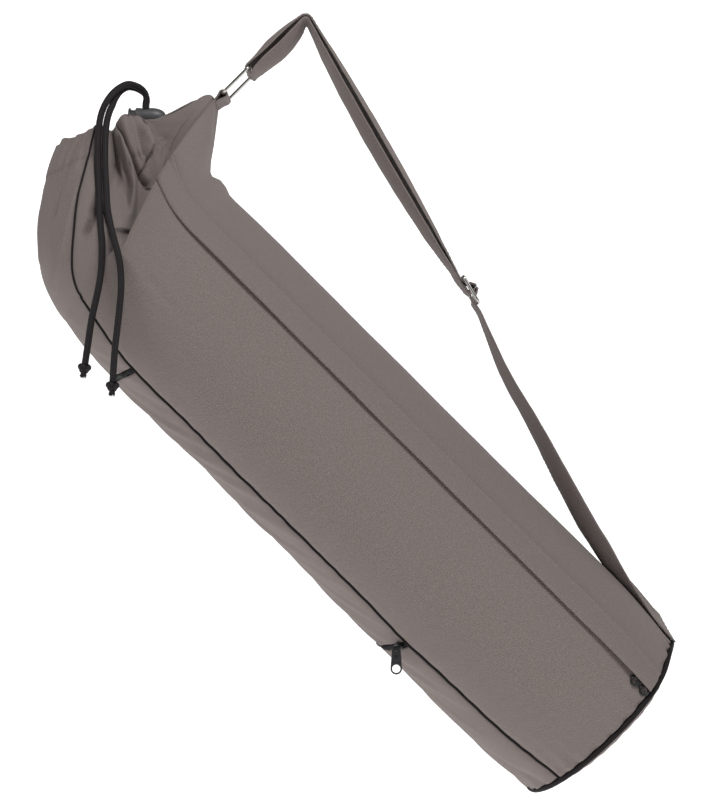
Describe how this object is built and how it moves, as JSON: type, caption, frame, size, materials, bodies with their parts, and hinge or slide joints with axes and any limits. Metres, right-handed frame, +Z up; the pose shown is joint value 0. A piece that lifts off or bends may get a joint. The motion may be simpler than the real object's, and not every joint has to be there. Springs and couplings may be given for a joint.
{
  "type": "yoga mat bag",
  "caption": "Drawstring cloth tube for a rolled mat, hung by its shoulder strap, with side zip pockets, a flap over a long zip and a cord lock.",
  "frame": {"origin": "underside of the strap where it hangs over a hook", "axes": "+Z up, +X along the strap's span towards the base end, -Y is the front with the flap and the hanging cords"},
  "size_m": [0.568, 0.2002, 0.6938],
  "materials": {
    "canvas": "taupe cotton canvas twill, matte",
    "strap_canvas": "the same canvas, folded and stitched along both edges",
    "piping": "black woven bias tape over a cord",
    "zip": "black coil zip on woven tape",
    "zip_metal": "black enamelled die casting, semi-gloss",
    "steel": "nickel-plated wire form, polished",
    "lock_plastic": "dark grey moulded plastic",
    "drawcord": "black braided polyester cord"
  },
  "bodies": {
    "bag": {"front_panel": "canvas", "back_panel": "canvas", "side_panel_lower": "canvas", "side_panel_middle": "canvas", "side_panel_upper": "canvas", "zip_flap": "canvas", "gathered_collar": "canvas", "base_panel": "canvas", "strap_tab": "canvas", "strap_outer": "strap_canvas", "strap_inner": "strap_canvas", "strap_lower": "strap_canvas", "pocket_zip_lower": "zip", "pocket_zip_upper": "zip", "main_zip_tape": "zip", "main_zip_pull_upper": "zip_metal", "main_zip_pull_lower": "zip_metal", "pocket_slider": "zip_metal", "side_piping_front": "piping", "side_piping_back": "piping", "base_piping": "piping", "strap_ring": "steel", "strap_slider": "steel", "cord_lock_barrel": "lock_plastic", "cord_left": "drawcord", "cord_right": "drawcord", "cord_left_knot": "drawcord", "cord_right_knot": "drawcord"},
    "pocket_pull": {"pocket_pull": "zip_metal"},
    "lock_button": {"cord_lock_button": "lock_plastic"}
  },
  "joints": [
    {"name": "pocket_pull_swing", "type": "hinge", "parent": "bag", "child": "pocket_pull", "pos_m": [0.07965, -0.06332, -0.55537], "axis": [0, 1, 0], "range_deg": [-30, 80]},
    {"name": "lock_button_press", "type": "slide", "parent": "bag", "child": "lock_button", "axis": [1, 0, 0], "range_m": [0, 0.004], "stiffness_N_per_m": 300, "springref_m": -0.003}
  ]
}
